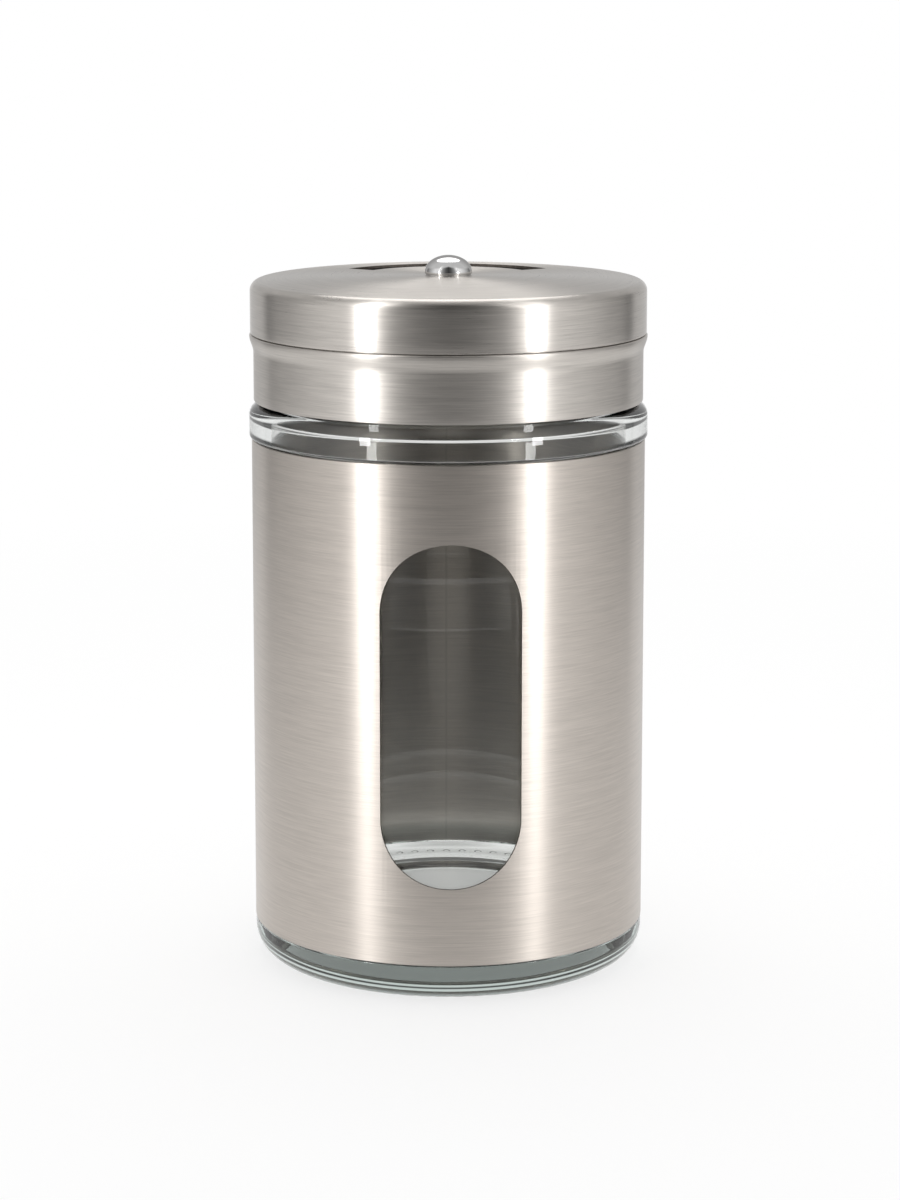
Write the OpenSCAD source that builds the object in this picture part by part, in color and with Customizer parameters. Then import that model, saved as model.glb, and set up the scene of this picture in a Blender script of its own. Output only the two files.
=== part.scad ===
// Spice shaker: a glass jar in a windowed steel sleeve, with a screw lid that carries a selector dial.
// Millimetres. The origin is the centre of the jar's foot, +Z is up and the window faces -Y.

/* [Glass jar] */
// Outer diameter of the glass body
jar_d = 59.5; // [50:0.5:75]
// Thickness of the glass wall
jar_wall = 2.4; // [1.8:0.1:3.5]
// Thickness of the glass under the inner floor
jar_floor = 9; // [5:0.5:14]
// Rise of the inner floor at its centre
floor_rise = 0.8; // [0:0.1:2]
// Radius of the corner between the inner floor and wall
floor_corner = 5; // [2:0.5:8]
// Radius of the rounded heel
heel_r = 4.5; // [2:0.5:4.5]
// Width of the ring that the jar stands on
foot_w = 3; // [1.5:0.5:5]
// Height of the hollow under the foot
push_up = 1.6; // [0.5:0.1:3]
// Bare glass below the sleeve
bare_foot = 6; // [5:0.5:12]
// How far the glass foot is set back from the sleeve
foot_set_back = 0.05; // [0:0.05:0.3]
// How far the glass bead stands out from the sleeve
bead_out = 0.4; // [0.2:0.05:2]
// Height of the glass bead
bead_h = 5.4; // [4:0.2:7]
// Height of the bead's widest line above its foot
bead_rise = 3.3; // [2:0.1:3.5]
// Height of the neck above the bead
neck_h = 13.1; // [12.5:0.05:18]
// Thickness of the neck wall
neck_wall = 3; // [2:0.1:4]

/* [Sleeve] */
// Height of the steel sleeve
sleeve_h = 75.8; // [65:0.1:120]
// Thickness of the sleeve's sheet
sleeve_sheet = 0.35; // [0.2:0.05:0.8]
// Gap between the glass and the sleeve
sleeve_gap = 0.4; // [0.05:0.05:0.5]
// Width of the window
window_w = 21.1; // [10:0.1:30]
// Height of the window
window_h = 52.2; // [35:0.1:62]

/* [Screw thread] */
// Rise of the lid in one turn
lead = 4.2; // [3.8:0.1:4.6]
// Height of the raised thread above the neck
thread_depth = 1.2; // [0.8:0.1:1.4]
// Width of the thread at its root
thread_root = 2; // [1.4:0.1:2.2]
// Width of the thread at its crest
thread_crest = 0.8; // [0.5:0.1:1.2]
// Stretches that the jar's thread is made in
thread_count = 5; // [3:1:5]
// Angle that one stretch of the jar's thread covers
thread_arc = 80; // [60:5:85]
// Angle that one thread lug of the lid covers
lug_arc = 40; // [20:5:60]
// Radial clearance between the threads and the walls that they face
thread_gap = 0.35; // [0.2:0.05:0.6]
// Clearance between the flanks of the two threads
flank_gap = 0.25; // [0.2:0.05:0.35]

/* [Lid] */
// Thickness of the lid's steel sheet
lid_sheet = 0.4; // [0.3:0.05:0.6]
// How far the lower band is set back from the sleeve
skirt_set_back = 0.35; // [0.1:0.05:0.8]
// Gap between the bead and the edge of the band
skirt_gap = 0.45; // [0.3:0.05:2]
// Height of the lower band, from its edge to the seam under the dial
skirt_h = 10.3; // [9:0.1:12]
// How far the shoulder stands out from the band
shoulder_out = 0.61; // [0.3:0.01:0.9]
// Height over which the shoulder flares
shoulder_h = 2.5; // [2:0.1:4.5]
// Height of the hem folded inside the edge of the band
hem_h = 1.2; // [0.8:0.1:2]
// Wall of the threaded ring
insert_wall = 1.35; // [1.2:0.05:2]
// Wall of the ring's rim round the sifter
sifter_rim = 1.5; // [1:0.1:2.5]
// Clearance of parts that are pressed or dropped into each other
seat_fit = 0.05; // [0.02:0.01:0.1]
// Thickness of the seal on the jar's lip
seal_t = 1.2; // [0.8:0.1:2]
// Thickness of the flange that seats the sifter
flange_t = 1.6; // [1.2:0.1:2.5]

/* [Sifter] */
// Thickness of the sifter disc
sifter_t = 1.2; // [0.8:0.1:2]
// Diameter of one sprinkle hole
sprinkle_d = 1.6; // [1:0.1:2.2]
// Distance between neighbouring sprinkle holes
sprinkle_pitch = 2.4; // [2.3:0.1:5]
// Diameter of the hub under the disc
hub_d = 9; // [7.5:0.5:12]
// Height of the hub below the disc
hub_h = 2; // [1.2:0.1:3]
// Thickness of a rib
rib_t = 1.2; // [0.8:0.1:1.6]
// Height of a rib below the disc
rib_h = 1.6; // [0.8:0.1:2.4]

/* [Dial] */
// How far the dial stands out from the sleeve
dial_out = 0.13; // [0:0.01:0.5]
// Running gap between the dial's wall and the drum inside it
drum_gap = 0.28; // [0.15:0.01:0.5]
// Gap at the seam between the dial and the lid's band
seam_gap = 0.15; // [0.1:0.05:0.4]
// Radius of the dial's rounded rim
rim_r = 1.5; // [1:0.1:3]
// Height of the crown above the rim
crown_h = 0.7; // [0:0.1:2]
// Width of the sloping band round the crown's flat middle
crown_run = 11; // [6:0.5:16]
// Thickness of the liner at the rim
liner_t = 1.2; // [0.8:0.1:2]
// Running gap between the liner and the sifter
dial_gap = 0.2; // [0.1:0.05:0.4]
// Width of the fan opening, along a radius
fan_w = 4.6; // [4:0.1:9]
// How far the fan opening stays inside the jar's mouth
fan_inset = 5.1; // [0.8:0.1:6]
// Angle that the fan opening covers
fan_angle = 114; // [60:1:114]
// Margin of the plastic ports round the fan opening
port_margin = 0.3; // [0.1:0.1:0.6]

/* [Knob] */
// Diameter of the knob
knob_d = 7.3; // [6:0.1:12]
// Height of the knob above the dial
knob_h = 3.05; // [2.5:0.05:6]
// Height of the knob's straight edge
knob_edge = 0.5; // [0.2:0.1:0.8]
// Diameter of the knob's shank
shank_d = 3; // [2.5:0.1:4]
// Radial clearance of the shank in the sifter's hub
shank_run = 0.05; // [0.02:0.01:0.1]
// Width of the lock nut across its flats
nut_flats = 5.5; // [5:0.1:7]
// Height of the lock nut
nut_h = 2.4; // [1.6:0.1:4]
// Outer diameter of the plain washer
washer_d = 7; // [5.5:0.5:9]
// Thickness of the plain washer
washer_t = 0.5; // [0.3:0.1:1]
// Thickness of the conical spring washer
spring_t = 0.4; // [0.2:0.1:0.6]
// Height of the spring washer's cone
spring_cone = 0.35; // [0.1:0.05:0.6]
// End float between the plain washer and the hub
end_float = 0.1; // [0.05:0.05:0.3]
// How far the shank passes the nut
shank_past = 0.5; // [0.2:0.1:1.5]

/* [Hidden] */
$fn = 96;

// Finishes
steel = [0.72, 0.70, 0.68];
polished = [0.82, 0.82, 0.83];
clear_glass = [0.80, 0.88, 0.86, 0.45];
dark_plastic = [0.12, 0.11, 0.10];
seal_white = [0.90, 0.90, 0.88];

// Radii from the axis
jar_r = jar_d / 2;
cavity_r = jar_r - jar_wall;
sleeve_in_r = jar_r + sleeve_gap;
sleeve_r = sleeve_in_r + sleeve_sheet;
foot_r = sleeve_r - foot_set_back;
bead_r = sleeve_r + bead_out;
skirt_r = sleeve_r - skirt_set_back;
dial_r = sleeve_r + dial_out;
drum_r = dial_r - lid_sheet - drum_gap;
insert_r = min(drum_r, skirt_r) - lid_sheet - seat_fit;
thread_wall_r = insert_r - insert_wall;
crest_r = thread_wall_r - thread_gap;
neck_r = crest_r - thread_depth;
lug_r = neck_r + thread_gap;
mouth_r = neck_r - neck_wall;
sifter_r = insert_r - sifter_rim - seat_fit;
fan_out_r = mouth_r - fan_inset;
fan_in_r = fan_out_r - fan_w;
shank_r = shank_d / 2;
shank_hole_r = shank_r + seat_fit;

// Heights from the foot, in the order that the pieces stack
sleeve_z = bare_foot;
sleeve_top_z = sleeve_z + sleeve_h;
bead_z = sleeve_top_z + seat_fit;
bead_top_z = bead_z + bead_h;
lip_z = bead_top_z + neck_h;
skirt_z = bead_top_z + skirt_gap;
seam_z = skirt_z + skirt_h;
flange_z = lip_z + seal_t;
sifter_z = flange_z + flange_t;
sifter_top_z = sifter_z + sifter_t;
liner_z = sifter_top_z + dial_gap;
dial_z = seam_z + seam_gap;
rim_z = liner_z + liner_t + lid_sheet;
crown_z = rim_z + crown_h;
hub_z = sifter_z - hub_h;
washer_z = hub_z - end_float - washer_t;
spring_z = washer_z - spring_t - spring_cone;
nut_z = spring_z - nut_h;
shank_z = nut_z - shank_past;

// Thread: the ridge's centre line climbs by the lead, and the lugs hang just under it
lip_r = min(1.3, neck_wall / 2 - 0.1);
stretch_step = 90;
thread_end = (thread_count - 1) * stretch_step + thread_arc / 2;
thread_z = lip_z - lip_r - thread_root / 2 - lead * thread_end / 360;
thread_tilt = atan(lead / (2 * PI * neck_r));
flank_slope = (thread_root - thread_crest) / 2 / thread_depth;
lug_drop = thread_crest + flank_slope * (thread_depth - thread_gap) + flank_gap;
lug_count = 4;
lug_start = 30;
root_bite = 0.4;

// Sectors of the sifter: the pour port is at rest under the fan opening
port_at = 90;
sector = 120;

// Points along a circular arc in a profile
function arc(x, y, r, from, to, steps = 8) =
    [for (i = [0:steps]) let(a = from + (to - from) * i / steps) [x + r * cos(a), y + r * sin(a)]];

// A smooth step from 0 to 1
function ease(t) = t * t * (3 - 2 * t);

// Points of a profile that runs up or down while its radius changes smoothly
function flow(from, to, steps = 10) =
    [for (i = [0:steps]) let(t = i / steps, step = to - from) from + [step[0] * ease(t), step[1] * t]];

// Points of a profile that swells from its foot to its widest line, where it is upright
function swell(foot, widest, steps = 5) =
    [for (i = [0:steps - 1]) let(t = i / steps)
        [widest[0] - (widest[0] - foot[0]) * pow(1 - t, 2), foot[1] + (widest[1] - foot[1]) * t]];

// Points of the crown, from the rim to its flat middle, lowered by a drop
crown_steps = 8;
function crown(drop) =
    [for (i = [1:crown_steps]) let(t = i / crown_steps)
        [dial_r - rim_r - crown_run * t, rim_z + crown_h * (1 - pow(1 - t, 2)) - drop]];

// The same points in reverse
function reversed(points) = [for (i = [len(points) - 1:-1:0]) points[i]];

// A profile that is stood up and turned about the axis
module turned(points) {
    rotate_extrude() polygon(points);
}

// A flat ring
module ring(outer, inner, z, height) {
    translate([0, 0, z]) difference() {
        cylinder(r = outer, h = height);
        translate([0, 0, -1]) cylinder(r = inner, h = height + 2);
    }
}

// A fan-shaped prism: a ring sector centred on one direction
module fan(inner, outer, angle, z, height) {
    translate([0, 0, z])
        rotate([0, 0, port_at - angle / 2])
            rotate_extrude(angle = angle)
                translate([inner, 0]) square([outer - inner, height]);
}

// One tilted stretch of thread, centred on +X, from its base in the wall to its crest at the tip
module stretch(base, tip, angle) {
    half_crest = thread_crest / 2;
    half_base = half_crest + flank_slope * abs(tip - base);
    rotate([thread_tilt, 0, 0])
        rotate([0, 0, -angle / 2])
            rotate_extrude(angle = angle)
                polygon([[base, -half_base], [tip, -half_crest], [tip, half_crest], [base, half_base]]);
}

// Glass: foot ring, rounded heel, ledge, bead, neck and thread outside, rounded cavity inside
module glass_jar() {
    heel_x = foot_r - heel_r;
    ring_x = heel_x - foot_w;
    ledge_z = sleeve_z - seat_fit;
    ledge_round = 0.25;
    bead_foot_r = sleeve_r - seat_fit;
    widest_z = bead_z + bead_rise;
    bead_round = bead_top_z - widest_z;
    neck_fillet = 1;
    neck_foot_z = bead_top_z + 0.4;
    cavity_x = cavity_r - floor_corner;
    mouth_z = neck_foot_z + 2.4;
    shoulder_z = widest_z - 0.7;
    dish = 6;
    foot = [for (i = [0:dish]) [ring_x * i / dish, push_up * (1 - pow(i / dish, 2))]];
    heel = concat(
        arc(heel_x, heel_r, heel_r, -90, 0),
        arc(foot_r - ledge_round, ledge_z - ledge_round, ledge_round, 0, 90, 3),
        [[jar_r, ledge_z]]
    );
    bead = concat(
        [[jar_r, bead_z]],
        swell([bead_foot_r, bead_z], [bead_r, widest_z]),
        arc(bead_r - bead_round, widest_z, bead_round, 0, 75, 6)
    );
    neck = concat(
        arc(neck_r + neck_fillet, neck_foot_z + neck_fillet, neck_fillet, 270, 180, 4),
        arc(neck_r - lip_r, lip_z - lip_r, lip_r, 0, 90, 5),
        arc(mouth_r + lip_r, lip_z - lip_r, lip_r, 90, 180, 5)
    );
    cavity = concat(
        flow([mouth_r, mouth_z], [cavity_r, shoulder_z]),
        arc(cavity_x, jar_floor + floor_corner, floor_corner, 0, -90)
    );
    inner_floor = [
        for (i = [dish - 1:-1:0]) [cavity_x * i / dish, jar_floor + floor_rise * (1 - pow(i / dish, 2))]
    ];
    color(clear_glass) {
        turned(concat(foot, heel, bead, neck, cavity, inner_floor));
        for (i = [0:thread_count - 1])
            translate([0, 0, thread_z + lead * i * stretch_step / 360])
                rotate([0, 0, i * stretch_step])
                    stretch(neck_r - root_bite, crest_r, thread_arc);
    }
}

// Sleeve: a thin tube with one full-round window, held between the foot's ledge and the bead
module body_sleeve() {
    window_z = sleeve_z + sleeve_h / 2;
    window_run = (window_h - window_w) / 2;
    color(steel) difference() {
        ring(sleeve_r, sleeve_in_r, sleeve_z, sleeve_h);
        translate([0, 0, window_z]) rotate([90, 0, 0]) {
            for (side = [-1, 1])
                translate([0, side * window_run, 0]) cylinder(d = window_w, h = sleeve_r + 1);
            translate([-window_w / 2, -window_run, 0]) cube([window_w, 2 * window_run, sleeve_r + 1]);
        }
    }
}

// Seal: a flat ring that lies on the lip under the lid's flange
module mouth_seal() {
    seal_side = 0.3;
    color(seal_white) ring(thread_wall_r - seal_side, mouth_r + seal_side, lip_z, seal_t);
}

// Lower band of the lid: hem, straight wall, flared shoulder, ledge and inner drum
module lid_skirt() {
    shoulder_r = skirt_r + shoulder_out;
    nose_r = 0.3;
    flare_z = seam_z - nose_r - shoulder_h;
    in_r = skirt_r - lid_sheet;
    hem_r = in_r - lid_sheet;
    outside = concat(
        [[skirt_r, skirt_z]],
        flow([skirt_r, flare_z], [shoulder_r, seam_z - nose_r]),
        arc(shoulder_r - nose_r, seam_z - nose_r, nose_r, 0, 90, 4),
        [[drum_r, seam_z], [drum_r, sifter_top_z]]
    );
    inside = concat(
        [[drum_r - lid_sheet, sifter_top_z], [drum_r - lid_sheet, seam_z - lid_sheet]],
        [[shoulder_r - lid_sheet - nose_r, seam_z - lid_sheet]],
        flow([shoulder_r - lid_sheet, seam_z - lid_sheet - nose_r], [in_r, flare_z]),
        [[in_r, skirt_z + hem_h], [hem_r, skirt_z + hem_h], [hem_r, skirt_z]]
    );
    color(steel) turned(concat(outside, inside));
}

// Threaded ring: outer wall, flange that presses the seal, rim that holds the sifter, and thread lugs
module lid_insert() {
    foot_z = skirt_z + hem_h + seat_fit;
    rim_in_r = sifter_r + seat_fit;
    color(dark_plastic) {
        turned([
            [thread_wall_r, foot_z],
            [insert_r, foot_z],
            [insert_r, sifter_top_z],
            [rim_in_r, sifter_top_z],
            [rim_in_r, sifter_z],
            [mouth_r, sifter_z],
            [mouth_r, flange_z],
            [thread_wall_r, flange_z]
        ]);
        for (i = [0:lug_count - 1]) {
            angle = lug_start + i * 360 / lug_count;
            translate([0, 0, thread_z + lead * angle / 360 - lug_drop])
                rotate([0, 0, angle])
                    stretch(thread_wall_r + root_bite, lug_r, lug_arc);
        }
    }
}

// Sprinkle holes: staggered rows on arcs in their own sector, spaced by the pitch
module sprinkle_holes() {
    hole_edge = 0.25;
    first_r = fan_in_r + sprinkle_d / 2 + hole_edge;
    last_r = fan_out_r - sprinkle_d / 2 - hole_edge;
    rows = floor((last_r - first_r) / (sprinkle_pitch * cos(30))) + 1;
    for (row = [0:rows - 1]) {
        r = first_r + (last_r - first_r) * row / max(rows - 1, 1);
        span = fan_angle - 2 * asin(sprinkle_d / r);
        count = floor(span * PI / 180 * r / sprinkle_pitch);
        for (i = [0:count])
            rotate([0, 0, port_at + sector - span / 2 + span * i / count])
                translate([r, 0, sifter_z - 1]) cylinder(d = sprinkle_d, h = sifter_t + 2, $fn = 24);
    }
}

// Sifter: pour port, sprinkle field and closed sector, stiffened by a hub and three ribs
module sifter_disc() {
    rib_end = mouth_r - dial_gap;
    color(dark_plastic) difference() {
        union() {
            translate([0, 0, sifter_z]) cylinder(r = sifter_r, h = sifter_t);
            translate([0, 0, hub_z]) cylinder(d = hub_d, h = hub_h + sifter_t);
            for (i = [0:2])
                rotate([0, 0, port_at + sector * (i + 0.5)])
                    translate([0, -rib_t / 2, sifter_z - rib_h])
                        cube([rib_end, rib_t, rib_h + sifter_t / 2]);
        }
        fan(fan_in_r - port_margin, fan_out_r + port_margin, fan_angle, sifter_z - 1, sifter_t + 2);
        sprinkle_holes();
        translate([0, 0, hub_z - 1]) cylinder(r = shank_r + shank_run, h = hub_h + sifter_t + 2);
    }
}

// Dial: straight wall, rounded rim and crowned top with the fan opening
module dial_cover() {
    in_r = dial_r - lid_sheet;
    corner = dial_r - rim_r;
    outside = concat(
        [[dial_r, dial_z]],
        arc(corner, rim_z - rim_r, rim_r, 0, 90),
        crown(0),
        [[shank_hole_r, crown_z]]
    );
    inside = concat(
        [[shank_hole_r, crown_z - lid_sheet]],
        reversed(crown(lid_sheet)),
        arc(corner, rim_z - rim_r, rim_r - lid_sheet, 90, 0),
        [[in_r, dial_z]]
    );
    color(steel) difference() {
        turned(concat(outside, inside));
        fan(fan_in_r, fan_out_r, fan_angle, rim_z - 2, crown_h + 4);
    }
}

// Liner: fills the space under the crown and wipes the sifter
module dial_liner() {
    edge = dial_r - rim_r;
    drop = lid_sheet + seat_fit;
    color(dark_plastic) difference() {
        turned(concat(
            [[shank_hole_r, liner_z], [edge, liner_z], [edge, rim_z - drop]],
            crown(drop),
            [[shank_hole_r, crown_z - drop]]
        ));
        fan(fan_in_r - port_margin, fan_out_r + port_margin, fan_angle, liner_z - 1, liner_t + crown_h + 2);
    }
}

// Knob: a domed head on a straight shank
module center_knob() {
    head_r = knob_d / 2;
    dome_h = knob_h - knob_edge;
    dome_r = (head_r * head_r + dome_h * dome_h) / (2 * dome_h);
    color(polished) {
        intersection() {
            translate([0, 0, crown_z]) cylinder(r = head_r, h = knob_h + 1);
            translate([0, 0, crown_z + knob_h - dome_r]) sphere(r = dome_r);
        }
        translate([0, 0, shank_z]) cylinder(r = shank_r, h = crown_z - shank_z + knob_edge);
    }
}

// Plain washer under the sifter's hub
module plain_washer() {
    color(polished) ring(washer_d / 2, shank_hole_r, washer_z, washer_t);
}

// Spring washer: a shallow cone between the plain washer and the nut
module spring_washer() {
    edge_r = washer_d / 2 - 0.5;
    color(polished) turned([
        [shank_hole_r, spring_z],
        [edge_r, spring_z + spring_cone],
        [edge_r, spring_z + spring_cone + spring_t],
        [shank_hole_r, spring_z + spring_t]
    ]);
}

// Lock nut: a hexagon on the end of the shank
module lock_nut() {
    color(polished) translate([0, 0, nut_z]) difference() {
        cylinder(d = nut_flats / cos(30), h = nut_h, $fn = 6);
        translate([0, 0, -1]) cylinder(r = shank_r + seat_fit / 2, h = nut_h + 2);
    }
}

glass_jar();
body_sleeve();
mouth_seal();
lid_skirt();
lid_insert();
sifter_disc();
dial_cover();
dial_liner();
center_knob();
plain_washer();
spring_washer();
lock_nut();
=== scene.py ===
"""Dresses a spice shaker: a glass jar in a windowed steel sleeve, under a screw lid with a selector dial.

The lengths of the shaker and the camera are in millimetres and are turned to metres where something is made.
The lengths of the studio and of the patterns in the finishes are in metres.
"""

from __future__ import annotations

import logging
import math
from dataclasses import dataclass
from enum import Enum
from functools import cache
from typing import Callable, Sequence

import bpy
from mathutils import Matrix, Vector

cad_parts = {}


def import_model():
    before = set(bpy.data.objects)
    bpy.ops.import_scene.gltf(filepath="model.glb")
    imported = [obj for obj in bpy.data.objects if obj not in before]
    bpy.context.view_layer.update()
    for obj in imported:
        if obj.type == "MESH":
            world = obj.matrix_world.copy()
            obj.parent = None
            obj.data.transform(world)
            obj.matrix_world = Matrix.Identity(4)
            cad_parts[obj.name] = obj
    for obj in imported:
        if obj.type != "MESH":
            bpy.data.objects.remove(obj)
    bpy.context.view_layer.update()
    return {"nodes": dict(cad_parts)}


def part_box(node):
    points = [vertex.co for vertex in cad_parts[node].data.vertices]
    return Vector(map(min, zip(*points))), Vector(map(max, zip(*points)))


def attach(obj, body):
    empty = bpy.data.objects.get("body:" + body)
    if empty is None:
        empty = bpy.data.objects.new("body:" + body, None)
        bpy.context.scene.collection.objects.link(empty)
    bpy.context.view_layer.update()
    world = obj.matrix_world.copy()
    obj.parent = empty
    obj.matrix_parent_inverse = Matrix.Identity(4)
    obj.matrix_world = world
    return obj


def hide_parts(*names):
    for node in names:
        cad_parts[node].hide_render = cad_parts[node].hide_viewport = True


LOG = logging.getLogger("spice_shaker")
MM = 0.001
ORIGIN = (0.0, 0.0, 0.0)
UP = (0.0, 0.0, 1.0)

Pair = tuple[float, float]
Point = Pair
Place = tuple[float, float, float]
Profile = list[Point]
Colour = tuple[float, float, float, float]
Span = tuple[float, float, float, float]
Number = "float | Value"
Input = "float | Value | Colour | bpy.types.NodeSocket | None"
Test = Callable[[Vector, Vector], bool]  # of a face's centre and normal, or of an edge's two ends
Solids = dict[str, bpy.types.Object]


class Body(str, Enum):
    """The bodies that the shaker's pieces ride on."""

    JAR = "jar"
    LID = "lid"
    DIAL = "dial"


class Slot(str, Enum):
    """The record's material slots that the pieces made here belong to."""

    GLASS = "clear_glass"
    SLEEVE = "brushed_sleeve"
    LID_STEEL = "brushed_lid"
    POLISHED = "polished_steel"


class Cut(str, Enum):
    """What a tool solid does to a piece."""

    REMOVE = "DIFFERENCE"
    ADD = "UNION"


class Ray(str, Enum):
    """The kinds of ray that a surface can tell apart."""

    CAMERA = "Is Camera Ray"
    MIRRORED = "Is Glossy Ray"
    THROUGH = "Is Transmission Ray"
    SHADOW = "Is Shadow Ray"


# ---------------------------------------------------------------- profiles


def shares(steps: int) -> list[float]:
    """Evenly spaced shares from 0 to 1, both included."""
    return [i / steps for i in range(steps + 1)]


def arc(x: float, z: float, radius: float, start: float, end: float, steps: int) -> Profile:
    """Points along a circular arc.

    Args:
        x: Centre's distance from the axis.
        z: Centre's height.
        radius: Radius of the arc.
        start: First angle in degrees, from the outward direction.
        end: Last angle in degrees.
        steps: Number of equal steps.

    Returns:
        The points, first and last included.
    """
    turns = [math.radians(start + (end - start) * t) for t in shares(steps)]
    return [(x + radius * math.cos(a), z + radius * math.sin(a)) for a in turns]


def flow(start: Point, end: Point, steps: int) -> Profile:
    """Points that run up or down evenly while the radius changes smoothly.

    Args:
        start: First point.
        end: Last point.
        steps: Number of equal steps in height.

    Returns:
        The points, first and last included.
    """
    out, rise = end[0] - start[0], end[1] - start[1]
    return [(start[0] + out * t * t * (3 - 2 * t), start[1] + rise * t) for t in shares(steps)]


def straight(start: Point, end: Point, steps: int) -> Profile:
    """Evenly spaced points on a line.

    Args:
        start: First point.
        end: Last point.
        steps: Number of equal steps.

    Returns:
        The points, first and last included.
    """
    out, rise = end[0] - start[0], end[1] - start[1]
    return [(start[0] + out * t, start[1] + rise * t) for t in shares(steps)]


# ---------------------------------------------------------------- modelling


class Bench:
    """Modelling tools that work on the active mesh, as by hand."""

    SAME_POINT = 2e-6  # metres below which two points are one

    @staticmethod
    def clear() -> None:
        """Leaves edit mode and deselects every object."""
        if bpy.context.object is not None and bpy.context.object.mode != "OBJECT":
            bpy.ops.object.mode_set(mode="OBJECT")
        bpy.ops.object.select_all(action="DESELECT")

    @classmethod
    def activate(cls, piece: bpy.types.Object) -> None:
        """Makes one object the only selected and the active one.

        Args:
            piece: The object.
        """
        cls.clear()
        piece.select_set(True)
        bpy.context.view_layer.objects.active = piece

    @staticmethod
    def edit() -> None:
        """Enters edit mode with everything selected, point by point."""
        bpy.ops.object.mode_set(mode="EDIT")
        bpy.ops.mesh.select_mode(type="VERT")
        bpy.ops.mesh.select_all(action="SELECT")

    @staticmethod
    def settle(name: str) -> bpy.types.Object:
        """Leaves edit mode, names the active object and puts its place into its mesh.

        Args:
            name: The piece's name.

        Returns:
            The finished object.
        """
        bpy.ops.object.mode_set(mode="OBJECT")
        piece = bpy.context.object
        piece.name = name
        piece.data.name = name
        bpy.ops.object.transform_apply(location=True, rotation=True, scale=True)
        return piece

    @classmethod
    def draw(cls, places: Sequence[Place]) -> None:
        """Draws a line by extruding one point, and leaves all of it selected in edit mode.

        Args:
            places: The line's points, in millimetres.
        """
        cls.clear()
        bpy.ops.mesh.primitive_plane_add(size=MM, location=[a * MM for a in places[0]])
        cls.edit()
        bpy.ops.mesh.merge(type="CENTER")
        for near, far in zip(places, places[1:]):
            step = [(b - a) * MM for a, b in zip(near, far)]
            bpy.ops.mesh.extrude_region_move(TRANSFORM_OT_translate={"value": step})
        bpy.ops.mesh.select_all(action="SELECT")

    @classmethod
    def spin(cls, steps: int, turn: float = math.tau) -> None:
        """Spins what is selected about the vertical axis and closes its seams.

        Args:
            steps: Number of steps.
            turn: Angle of the spin in radians, clockwise from above.
        """
        bpy.ops.mesh.spin(steps=steps, angle=turn, center=ORIGIN, axis=UP)
        bpy.ops.mesh.select_all(action="SELECT")
        bpy.ops.mesh.remove_doubles(threshold=cls.SAME_POINT)
        bpy.ops.mesh.normals_make_consistent(inside=False)

    @classmethod
    def lathe(cls, name: str, profile: Profile, steps: int) -> bpy.types.Object:
        """Turns a profile about the vertical axis.

        Args:
            name: The piece's name.
            profile: Points as radius and height; a profile clear of the axis is closed.
            steps: Number of steps in a full turn.

        Returns:
            The turned solid, with its normals outward.
        """
        far_enough = 1e-5
        points = [p for i, p in enumerate(profile) if i == 0 or math.dist(p, profile[i - 1]) > far_enough]
        if min(p[0] for p in points) > 0:
            points.append(points[0])
        cls.draw([(r, 0, z) for r, z in points])
        cls.spin(steps)
        return cls.settle(name)

    @classmethod
    def sector(cls, section: Profile, angle: float, steps: int) -> bpy.types.Object:
        """Spins a section through part of a turn, centred on +X, and caps its ends.

        Args:
            section: Corners as radius and height.
            angle: Angle that the piece covers, in degrees.
            steps: Number of steps.

        Returns:
            The closed solid, still in edit mode.
        """
        turn = math.radians(angle)
        cls.draw([(r, 0, z) for r, z in section])
        bpy.ops.mesh.edge_face_add()
        bpy.ops.transform.rotate(value=-turn / 2, orient_axis="Z", center_override=ORIGIN)
        cls.spin(steps, turn)
        return bpy.context.object

    @classmethod
    def copy(cls, piece: bpy.types.Object) -> None:
        """Copies a piece with its mesh and leaves the copy active in edit mode.

        Args:
            piece: The piece to copy.
        """
        cls.activate(piece)
        bpy.ops.object.duplicate()
        cls.edit()

    @classmethod
    def join(cls, pieces: Sequence[bpy.types.Object]) -> bpy.types.Object:
        """Makes one object of several.

        Args:
            pieces: The objects, which the first one takes up.

        Returns:
            The joined object.
        """
        cls.activate(pieces[0])
        for piece in pieces:
            piece.select_set(True)
        bpy.ops.object.join()
        return bpy.context.object

    @staticmethod
    def deselect(kind: str) -> None:
        """Deselects the whole active mesh and leaves edit mode.

        Args:
            kind: What is selected from then on, EDGE or FACE.
        """
        bpy.ops.object.mode_set(mode="EDIT")
        bpy.ops.mesh.select_mode(type=kind)
        bpy.ops.mesh.select_all(action="DESELECT")
        bpy.ops.object.mode_set(mode="OBJECT")

    @classmethod
    def select_faces(cls, piece: bpy.types.Object, wanted: Test) -> None:
        """Selects the faces of the active mesh that a test picks, and leaves it in edit mode.

        Args:
            piece: The active object.
            wanted: Test of a face's centre and normal, in metres.
        """
        cls.deselect("FACE")
        for face in piece.data.polygons:
            face.select = wanted(face.center, face.normal)
        bpy.ops.object.mode_set(mode="EDIT")

    @classmethod
    def select_edges(cls, piece: bpy.types.Object, wanted: Test) -> None:
        """Selects the edges of the active mesh that a test picks, and leaves it in edit mode.

        Args:
            piece: The active object.
            wanted: Test of an edge's two ends, in metres.
        """
        cls.deselect("EDGE")
        points = piece.data.vertices
        for edge in piece.data.edges:
            edge.select = wanted(points[edge.vertices[0]].co, points[edge.vertices[1]].co)
        bpy.ops.object.mode_set(mode="EDIT")

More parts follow.
